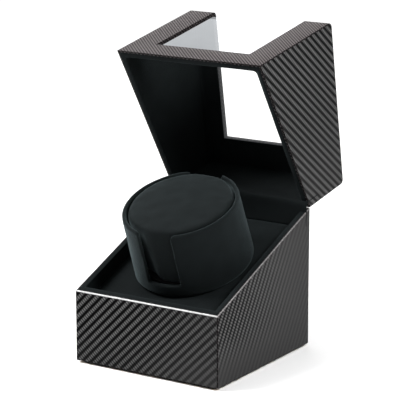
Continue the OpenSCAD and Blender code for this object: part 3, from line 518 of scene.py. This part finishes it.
def remeshed(bm, name, voxel, passes):
    """A bmesh as even quads, with its edges softened."""
    mesh = bpy.data.meshes.new(name)
    bm.to_mesh(mesh)
    bm.free()
    obj = new_object(name, mesh)
    remesh = obj.modifiers.new("Remesh", "REMESH")
    remesh.mode = "VOXEL"
    remesh.voxel_size = voxel
    soften = obj.modifiers.new("Soften", "SMOOTH")
    soften.factor = 0.5
    soften.iterations = passes
    made = evaluated(obj)
    bpy.data.objects.remove(obj)
    return made


def notch_spot(p):
    """A point's distances across and along the line of the two notches."""
    turn = math.radians(CUP_TURN)
    return (p.x * math.cos(turn) + p.y * math.sin(turn), p.y * math.cos(turn) - p.x * math.sin(turn))


def flocked_cup():
    """Moulded cup with a coat of flock that softens every edge, its rim rounded down at the notches."""
    mesh = remeshed(cad_copy("cup", CUP), "flocked_cup", CUP_VOXEL, 6)
    bm = bmesh.new()
    bm.from_mesh(mesh)
    _, high = limits(bm)
    for v in bm.verts:
        inside = abs(notch_spot(v.co)[0]) - NOTCH_HALF
        near = max(0.0, 1 - inside / CORNER_ROUND)
        if 0 <= near <= 1 and math.hypot(v.co.x, v.co.y) > 0.8 * high.x:
            drop = CORNER_ROUND * (1 - math.sqrt(1 - near * near))
            v.co.z -= drop * share(v.co.z, high.z - 3 * CORNER_ROUND, high.z)
    ruffle(bm, FLOCK_WAVE, 11 * MM, seed=5)
    obj = to_object(bm, "flocked_cup", CUP, FLOCK, sharp=180)
    place(obj, "turntable", "cup")


def swell(mesh):
    """Blows the cushion up by cloth simulation and returns the new mesh."""
    obj = new_object("cushion_cloth", mesh)
    cloth = obj.modifiers.new("Cloth", "CLOTH")
    settings = cloth.settings
    settings.quality = 6
    settings.mass = 0.2
    settings.tension_stiffness = 12
    settings.compression_stiffness = 12
    settings.shear_stiffness = 6
    settings.bending_stiffness = 0.8
    settings.use_pressure = True
    settings.uniform_pressure_force = 4
    settings.effector_weights.gravity = 0
    cloth.collision_settings.use_collision = False
    scene = bpy.context.scene
    scene.frame_start = 1
    scene.frame_end = CUSHION_FRAMES
    for step in range(1, CUSHION_FRAMES + 1):
        scene.frame_set(step)
    made = evaluated(obj)
    scene.frame_set(1)
    bpy.data.objects.remove(obj)
    return made


def cushion_pad():
    """Foam pad in velvet: crowned, blown up from a smaller shape, and pushed aside in one notch corner."""
    bm = cad_copy("cushion", CUP)
    low, high = limits(bm)
    mesh = remeshed(bm, "cushion_pad", PAD_VOXEL, 1)
    start = [v.co.copy() for v in mesh.vertices]
    normals = [v.normal.copy() for v in mesh.vertices]
    for v, normal in zip(mesh.vertices, normals):
        v.co -= normal * PAD_SHRINK
    mesh = swell(mesh)
    for v, home in zip(mesh.vertices, start):
        move = v.co - home
        if move.length > PAD_MOVE:
            v.co = home + move * (PAD_MOVE / move.length)
    bm = bmesh.new()
    bm.from_mesh(mesh)
    for v in bm.verts:
        reach = math.hypot(v.co.x, v.co.y)
        if reach > high.x:
            v.co.x *= high.x / reach
            v.co.y *= high.x / reach
        v.co.z = min(max(v.co.z, low.z), high.z + PAD_RISE)
    tuck_in(bm, low.z, high.z)
    bmesh.ops.subdivide_edges(bm, edges=bm.edges, cuts=1, use_grid_fill=True, smooth=0.6)
    ruffle(bm, PAD_WAVE, 9 * MM, seed=8)
    obj = to_object(bm, "cushion_pad", CUP, PAD_VELVET, sharp=180)
    place(obj, "watch_cushion", "cushion")


def tuck_in(bm, bottom, top):
    """Pulls the pad back from the front notch's left side, most of all low down."""
    for v in bm.verts:
        across, along = notch_spot(v.co)
        if along < 0:
            low_down = share(v.co.z, top - 4 * MM, bottom)
            amount = share(across, *TUCK_START) * share(across, *TUCK_END)
            height = TUCK_CROWN + (1 - TUCK_CROWN) * low_down
            v.co.y += TUCK * amount * height * share(v.co.z, top, top - 7 * MM)


# ---- Materials ----


class Shader:
    """A Principled material whose patterns are made of nodes."""

    def __init__(self, name, colour, roughness, **inputs):
        self.material = bpy.data.materials.new(name)
        self.material.use_nodes = True
        self.tree = self.material.node_tree
        self.surface = self.tree.nodes["Principled BSDF"]
        self.material.diffuse_color = (*colour, 1)
        self.put("Base Color", (*colour, 1))
        self.put("Roughness", roughness)
        for key, value in inputs.items():
            self.put(key.replace("_", " "), value)

    def put(self, key, value):
        """Sets or links one input of the surface."""
        self.join(value, self.surface.inputs[key])

    def join(self, value, target):
        """Links a socket to the target, or sets the target to a plain value."""
        if isinstance(value, bpy.types.NodeSocket):
            self.tree.links.new(value, target)
        else:
            target.default_value = value

    def node(self, kind, inputs=None, **settings):
        """A new node with its inputs joined and its properties set."""
        made = self.tree.nodes.new("ShaderNode" + kind)
        for key, value in settings.items():
            setattr(made, key, value)
        for key, value in (inputs or {}).items():
            self.join(value, made.inputs[key])
        return made

    def math(self, operation, a, b=0.0, c=0.0):
        return self.node("Math", {0: a, 1: b, 2: c}, operation=operation).outputs[0]

    def place(self, stretch=(1, 1, 1)):
        """Object coordinates, stretched."""
        spot = self.node("TexCoord").outputs["Object"]
        return self.node("Mapping", {"Vector": spot, "Scale": stretch}).outputs[0]

    def noise(self, scale, detail=3.0, stretch=(1, 1, 1)):
        """Smooth noise from 0 to 1, scale in waves per metre."""
        inputs = {"Vector": self.place(stretch), "Scale": scale, "Detail": detail}
        return self.node("TexNoise", inputs).outputs[0]

    def span(self, value, low, high, start=0.3, end=0.7):
        """Maps value from start..end, where most of a noise lies, to low..high."""
        inputs = {0: value, 1: start, 2: end, 3: low, 4: high}
        return self.node("MapRange", inputs, clamp=True).outputs[0]

    def times(self, a, b):
        return self.math("MULTIPLY", a, b)

    def mixed(self, amount, first, second):
        """The first colour changed into the second by the amount."""
        mix = self.node("Mix", data_type="RGBA")
        for value, index in ((amount, 0), (first, 6), (second, 7)):
            self.join(value, mix.inputs[index])
        return mix.outputs[2]

    def tint(self, amount, dark, light):
        """A colour between dark and light."""
        return self.mixed(amount, (*dark, 1), (*light, 1))

    def show(self, shader):
        """Shows another shader in the place of the Principled surface."""
        self.join(shader.outputs[0], self.tree.nodes["Material Output"].inputs["Surface"])

    def bump(self, height, depth, strength=1.0):
        """Small relief, depth in metres."""
        inputs = {"Height": height, "Distance": depth, "Strength": strength}
        self.put("Normal", self.node("Bump", inputs).outputs[0])


def waves(shader, length, pitch):
    """A cosine from 0 to 1 along a length in metres."""
    turn = shader.times(length, 2 * math.pi / pitch)
    return shader.math("MULTIPLY_ADD", shader.math("COSINE", turn), 0.5, 0.5)


def leather_material():
    """Black synthetic leather: twill ridges made of fine ribs, with dull grooves between them.

    The grooves and the lines between the ribs are painted dark as shade. Where it folds over the rim it is
    smoother and more specular, with a painted highlight added; its other folds and the faces turned inwards
    are painted darker as shade. Where no ridges are pressed in, a finer weave with a brown cast shows.
    """
    # The first colour is painted shade for the grooves, the second a painted highlight for the rim folds.
    groove, rim_highlight = (0.0008, 0.0008, 0.0009, 1), (0.42, 0.42, 0.42, 1)
    black, brown = (0.085, 0.084, 0.084), (0.110, 0.088, 0.090)
    s = Shader("twill_leather", (0.02, 0.02, 0.021), 0.4)
    lengths = s.node("Attribute", attribute_name="weave").outputs["Vector"]
    fold = s.node("Attribute", attribute_name="fold").outputs["Fac"]
    rim = s.math("MAXIMUM", fold, 0.0)
    across, along, depth = s.node("SeparateXYZ", {0: lengths}).outputs
    fine = s.span(depth, 1, 0, start=0, end=0.06)
    top = leather_top(s, across, depth, fine)
    ribs = leather_ribs(s, along, depth, fine)
    grain = s.noise(2400, 2)
    # How far each spot goes from the groove colour to the thread colour: painted shade in the grooves and
    # between the ribs, with real random grain.
    lit = s.times(s.times(top, ribs), s.span(grain, 0.7, 1.1))
    # A painted highlight along the rim folds, here and in the thread colour below.
    lit = s.math("MAXIMUM", lit, s.times(rim, 0.9))
    # Painted shade on the other folds and on faces turned inwards.
    lit = s.times(lit, s.math("MINIMUM", s.math("MULTIPLY_ADD", fold, 0.8, 1.0), 1.0))
    thread = s.mixed(rim, s.tint(fine, black, brown), rim_highlight)
    s.put("Base Color", s.mixed(lit, groove, thread))
    s.put("Roughness", s.math("MULTIPLY_ADD", rim, -0.12, s.span(top, 0.60, 0.42, 0, 1)))
    s.put("Specular IOR Level", s.math("MULTIPLY_ADD", rim, 0.7, s.span(lit, 0.02, 0.6, 0, 1)))
    height = s.math("MULTIPLY_ADD", ribs, 0.9, s.times(grain, 0.25))
    s.bump(s.times(height, top), 0.25 * MM)
    return s.material


def leather_ribs(s, along, depth, fine):
    """Fine ribs, 0 in the line between two to 1 on a rib, clearest on deep ridges and in the fine weave.
    The lines between them are painted dark as shade, and bumped.
    """
    rib = waves(s, along, RIB_PITCH)
    ribbed = s.math("MAXIMUM", fine, s.span(depth, 0, 1, start=0.1, end=0.7))
    return s.math("SUBTRACT", 1.0, s.times(ribbed, s.math("MULTIPLY_ADD", rib, -0.92, 0.92)))


def leather_top(s, across, depth, fine):
    """Tops of the ridges where they are deep, fading into a level face or the fine weave. The grooves
    between the tops are painted dark as shade.
    """
    cross = waves(s, across, FINE_PITCH)
    ridge_top = s.times(s.span(waves(s, across, TWILL_PITCH), 0, 1, start=0.2, end=0.85), depth)
    weave = s.math("MULTIPLY_ADD", s.times(cross, fine), 0.75, 0.22)
    return s.math("ADD", ridge_top, s.times(s.math("SUBTRACT", 1.0, depth), weave))


def velvet_material(name, dark, light, sheen, nap=5200):
    """Short black pile: fine nap, cloudy where it has been brushed, with a cool sheen."""
    s = Shader(name, light, 0.95, Specular_IOR_Level=0.08, Sheen_Roughness=0.38)
    cloud = s.noise(90, 4)
    pile = s.noise(nap, 2)
    s.put("Base Color", s.tint(s.math("MULTIPLY_ADD", pile, 0.5, s.times(cloud, 0.5)), dark, light))
    s.put("Sheen Weight", s.span(cloud, 0.75 * sheen, sheen))
    s.put("Sheen Tint", (0.74, 0.95, 1.0, 1))
    s.bump(pile, 0.12 * MM, 0.7)
    return s.material


def acrylic_material():
    """Clear polished sheet: what lies behind it, under a faint painted reflection of the white
    surroundings.

    The reflection is painted, as a glow that only the camera sees: little when looked at squarely and more
    at a slant, by Schlick's rule.
    """
    s = Shader("clear_acrylic", (0.97, 0.985, 0.99), 0.0)
    slant = s.math("POWER", s.node("LayerWeight", {"Blend": 0.5}).outputs["Facing"], 5.0)
    smear = s.span(s.noise(60, 3), 0.92, 1.0)
    mirror = s.times(s.math("MULTIPLY_ADD", slant, PANE_SLANTED, PANE_SQUARE), smear)
    passed = s.math("MULTIPLY_ADD", mirror, -0.6, PANE_CLEAR)
    seen = s.node("LightPath").outputs["Is Camera Ray"]
    # painted reflection: a glow that camera rays alone see, brighter at a slant
    glare = s.times(s.times(mirror, s.math("SUBTRACT", 1.0, mirror)), seen)
    clear = s.node("BsdfTransparent", {"Color": passed})
    glow = {"Color": (0.93, 0.965, 1.0, 1), "Strength": s.times(glare, PANE_GLARE)}
    sheen = s.node("Emission", glow)
    s.show(s.node("AddShader", {0: clear.outputs[0], 1: sheen.outputs[0]}))
    return s.material


def metal_material(name, colour, roughness, stretch=(1, 1, 30), scale=180):
    """Metal with fine drawn lines."""
    s = Shader(name, colour, roughness, Metallic=1.0)
    lines = s.noise(scale, 3, stretch)
    shade = [0.78 * c for c in colour]
    s.put("Base Color", s.tint(lines, shade, colour))
    s.put("Roughness", s.span(lines, 0.8 * roughness, 1.25 * roughness))
    s.bump(lines, 0.02 * MM, 0.4)
    return s.material


def plastic_material(name, colour, roughness, scale=2200):
    """Moulded plastic with a fine spark texture."""
    s = Shader(name, colour, roughness, Specular_IOR_Level=0.45)
    grain = s.noise(scale, 3)
    s.put("Base Color", s.tint(grain, [0.8 * c for c in colour], colour))
    s.put("Roughness", s.span(grain, roughness, roughness + 0.12))
    s.bump(grain, 0.04 * MM, 0.5)
    return s.material


def fibreboard_material():
    """Pressed fibres: pale and dark flecks with no direction."""
    s = Shader("fibreboard", (0.42, 0.32, 0.22), 0.85)
    fleck = s.noise(1400, 5)
    s.put("Base Color", s.tint(fleck, (0.30, 0.21, 0.13), (0.52, 0.41, 0.29)))
    s.bump(fleck, 0.08 * MM, 0.6)
    return s.material


def black_board_material():
    """Fibreboard stained black where its cut edges could show."""
    s = Shader("black_fibreboard", (0.012, 0.012, 0.012), 0.8, Specular_IOR_Level=0.2)
    fleck = s.noise(1400, 5)
    s.put("Base Color", s.tint(fleck, (0.004, 0.004, 0.004), (0.020, 0.019, 0.018)))
    s.bump(fleck, 0.08 * MM, 0.6)
    return s.material


def softwood_material():
    """Planed pine with growth lines."""
    s = Shader("softwood", (0.72, 0.58, 0.40), 0.6)
    inputs = {"Vector": s.place((1, 0.15, 1)), "Scale": 60.0, "Distortion": 3.0, "Detail": 3.0}
    grain = s.node("TexWave", inputs).outputs[1]
    s.put("Base Color", s.tint(grain, (0.60, 0.43, 0.25), (0.80, 0.66, 0.47)))
    s.bump(grain, 0.04 * MM, 0.4)
    return s.material


def winding_material():
    """Turns of enamelled copper wire."""
    s = Shader("copper_winding", (0.60, 0.28, 0.14), 0.3, Metallic=1.0)
    turns = s.node("TexWave", {"Vector": s.place(), "Scale": 900.0, "Distortion": 0.6}).outputs[1]
    s.put("Base Color", s.tint(turns, (0.25, 0.09, 0.04), (0.66, 0.32, 0.16)))
    s.bump(turns, 0.1 * MM, 0.8)
    return s.material


def board_material():
    """Green solder mask over copper tracks."""
    s = Shader("circuit_board", (0.03, 0.18, 0.08), 0.35)
    inputs = {"Vector": s.place(), "Scale": 260.0}
    tracks = s.node("TexVoronoi", inputs, feature="DISTANCE_TO_EDGE").outputs[0]
    line = s.span(tracks, 1, 0, 0.05, 0.09)
    s.put("Base Color", s.tint(line, (0.015, 0.11, 0.045), (0.04, 0.25, 0.10)))
    s.bump(line, 0.03 * MM, 0.6)
    return s.material


def wire_material():
    """Red insulation with a slight sheen."""
    s = Shader("wire_red", (0.45, 0.04, 0.04), 0.45)
    mark = s.noise(700, 2)
    s.put("Base Color", s.tint(mark, (0.33, 0.02, 0.02), (0.50, 0.05, 0.05)))
    s.bump(mark, 0.02 * MM, 0.4)
    return s.material


LEATHER = leather_material()
VELVET = velvet_material(
    "velvet", dark=(0.0014, 0.0022, 0.0024), light=(0.0050, 0.0068, 0.0072), sheen=0.085,
)
FLOCK = velvet_material(
    "flocked_cup", dark=(0.0016, 0.0025, 0.0027), light=(0.0056, 0.0076, 0.0080), sheen=0.15, nap=4200,
)
PAD_VELVET = velvet_material(
    "cushion_velvet", dark=(0.0022, 0.0032, 0.0034), light=(0.0066, 0.0086, 0.0090), sheen=0.11, nap=3600,
)
FELT = velvet_material(
    "black_felt", dark=(0.004, 0.004, 0.004), light=(0.016, 0.016, 0.016), sheen=0.12, nap=1500,
)

FINISHES = {
    "fibreboard": fibreboard_material(),
    "black_fibreboard": black_board_material(),
    "softwood": softwood_material(),
    "clear_acrylic": acrylic_material(),
    "steel": metal_material("steel", (0.62, 0.63, 0.65), 0.32),
    "dark_nickel": metal_material("dark_nickel", (0.20, 0.20, 0.22), 0.30, stretch=(30, 1, 1)),
    "magnet": metal_material("magnet", (0.60, 0.61, 0.63), 0.16, stretch=(1, 1, 1), scale=500),
    "black_plastic": plastic_material("black_plastic", (0.028, 0.028, 0.03), 0.45),
    "white_acetal": plastic_material("white_acetal", (0.82, 0.81, 0.77), 0.38, scale=900),
    "brass": metal_material("brass", (0.78, 0.60, 0.28), 0.25, stretch=(1, 1, 20)),
    "copper_winding": winding_material(),
    "circuit_board": board_material(),
    "wire_red": wire_material(),
    "twill_leather": LEATHER,
    "velvet": VELVET,
    "flocked_cup": FLOCK,
    "cushion_velvet": PAD_VELVET,
    "black_felt": FELT,
}


def finish_nodes():
    """Gives every CAD node the finish of its material slot."""
    for part in RECORD["subparts"]:
        obj = NODES[part["node"]]
        obj.data.materials.clear()
        obj.data.materials.append(FINISHES[part["material_slot"]])


def ease_edges(node, width, angle=35):
    """Takes the sharpness off a hard part's edges without changing its mesh."""
    obj = NODES[node]
    weld = obj.modifiers.new("Weld", "WELD")
    weld.merge_threshold = 0.002 * MM
    bevel = obj.modifiers.new("Ease", "BEVEL")
    bevel.width = width
    bevel.segments = 2
    bevel.limit_method = "ANGLE"
    bevel.angle_limit = math.radians(angle)
    bevel.use_clamp_overlap = True


EASED = {
    "hinge_base_leaves": 0.15 * MM,
    "hinge_lid_leaves": 0.15 * MM,
    "hinge_pins": 0.15 * MM,
    "mode_knob": 0.2 * MM,
    "dc_jack": 0.2 * MM,
    "panel_nuts": 0.2 * MM,
    "window_pane": 0.15 * MM,
    "floor_screws": 0.1 * MM,
}


# ---- Pieces ----


def felt_pad():
    """Felt under the floor, with a soft edge."""
    bm = cad_copy("base_felt")
    low, high = limits(bm)
    rims = [
        e for e in convex_edges(bm, 60)
        if max(abs(v.co.x) for v in e.verts) > high.x - FELT_BAND
        or max(abs(v.co.y) for v in e.verts) > high.y - FELT_BAND
    ]
    round_edges(bm, rims, FELT_EDGE, 3)
    for across in (X, Y):
        wide = [f for f in bm.faces if f.calc_area() > FELT_PATCH]
        slice_faces(bm, wide, across, levels_over(wide, across, FELT_STEP))
    ruffle(bm, FELT_WAVE, 6 * MM, seed=0)
    for v in bm.verts:
        v.co.z = max(v.co.z, low.z)
    obj = to_object(bm, "felt_pad", Matrix(), FELT)
    place(obj, "base", "base_felt")


def build():
    finish_nodes()
    walls = ("front", "right", "rear", "left")
    leather_wrap("base_wrap", "base_leather", Matrix(), walls, "base", base_twill, SIDE_RISE)
    leather_wrap("lid_wrap", "lid_leather", LID, (*walls, "top"), "lid", lid_twill, {})
    velvet_sheet("base_velvet", "base_lining", Matrix(), "base", seed=1)
    velvet_sheet("lid_velvet", "lid_lining", LID, "lid", seed=2)
    velvet_sheet("deck_cloth", "deck_velvet", Matrix(), "base", seed=3, edge=DECK_EDGE, sag=0)
    hinge_cloth()
    flocked_cup()
    cushion_pad()
    felt_pad()
    for node, width in EASED.items():
        ease_edges(node, width)


# ---- Studio ----


def area_light(name, target, direction, distance, width, power):
    """A soft square lamp that faces the target from a direction."""
    data = bpy.data.lights.new(name, "AREA")
    data.size = width
    data.energy = power
    obj = new_object(name, data)
    away = Vector(direction).normalized()
    obj.location = target + away * distance
    obj.rotation_euler = (-away).to_track_quat("-Z", "Y").to_euler()


def sun(direction, strength, angle):
    """Even light from a wide patch of sky."""
    data = bpy.data.lights.new("sky", "SUN")
    data.energy = strength
    data.angle = math.radians(angle)
    obj = new_object("sky", data)
    obj.rotation_euler = Vector(direction).normalized().to_track_quat("Z", "Y").to_euler()


def studio_world(seen, lighting):
    """A white backdrop for the camera over a dimmer even light."""
    world = bpy.data.worlds.new("studio")
    bpy.context.scene.world = world
    world.use_nodes = True
    tree = world.node_tree
    tree.nodes.clear()
    path = tree.nodes.new("ShaderNodeLightPath")
    mix = tree.nodes.new("ShaderNodeMixShader")
    out = tree.nodes.new("ShaderNodeOutputWorld")
    for index, strength in ((1, lighting), (2, seen)):
        glow = tree.nodes.new("ShaderNodeBackground")
        glow.inputs["Color"].default_value = (1, 1, 1, 1)
        glow.inputs["Strength"].default_value = strength
        tree.links.new(glow.outputs[0], mix.inputs[index])
    tree.links.new(path.outputs["Is Camera Ray"], mix.inputs[0])
    tree.links.new(mix.outputs[0], out.inputs[0])


def floor_material():
    """White, and for the camera brighter away from the box, so that only the shadow round it shows."""
    s = Shader("studio_floor", (0.92, 0.92, 0.92), 0.9, Specular_IOR_Level=0.1)
    s.put("Base Color", s.tint(s.noise(3, 2), (0.86, 0.86, 0.86), (0.88, 0.88, 0.88)))
    away = s.node("VectorMath", {0: s.place()}, operation="LENGTH").outputs["Value"]
    glow = s.span(away, 0, FLOOR_GLOW, start=0.1, end=1.1)
    s.put("Emission Color", (1, 1, 1, 1))
    s.put("Emission Strength", s.times(s.node("LightPath").outputs["Is Camera Ray"], glow))
    return s.material


def studio_floor(size=14.0):
    """Pale floor that goes out to the horizon of the picture."""
    mesh = bpy.data.meshes.new("floor")
    half = size / 2
    corners = [(-half, -half, 0), (half, -half, 0), (half, half, 0), (-half, half, 0)]
    mesh.from_pydata(corners, [], [(0, 1, 2, 3)])
    mesh.materials.append(floor_material())
    new_object("floor", mesh)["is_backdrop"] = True


def studio_camera():
    """The view of the reference: from the front right, a little above, with a long lens."""
    azimuth = math.radians(32.81)
    elevation = math.radians(13.6)
    target = Vector((-0.0119, 0.0263, 0.10333))
    distance = 1.425
    back = Vector((
        math.sin(azimuth) * math.cos(elevation),
        -math.cos(azimuth) * math.cos(elevation),
        math.sin(elevation),
    ))
    data = bpy.data.cameras.new("camera")
    data.lens = 183.3
    data.sensor_width = 36
    data.clip_end = 100
    camera = new_object("camera", data)
    camera.location = target + back * distance
    camera.rotation_euler = (-back).to_track_quat("-Z", "Y").to_euler()
    bpy.context.scene.camera = camera


def studio():
    low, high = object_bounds()
    middle = (low + high) / 2
    studio_world(BACKDROP, WORLD_LIGHT)
    studio_floor()
    sun((-0.45, 0.25, 0.86), strength=1.38, angle=47)
    area_light("key", middle, (-0.53, -0.37, 0.76), distance=1.1, width=0.5, power=19)
    area_light("frame", middle, (-0.53, 0.69, 0.49), distance=1.2, width=0.7, power=1.7)
    area_light("right", middle, (0.90, 0.10, 0.50), distance=1.2, width=0.5, power=1.0)
    area_light("lid_side", high, (0.80, -0.45, 0.40), distance=0.40, width=0.15, power=3.0)
    studio_camera()
    bpy.context.scene.view_settings.view_transform = "Standard"


build()
studio()
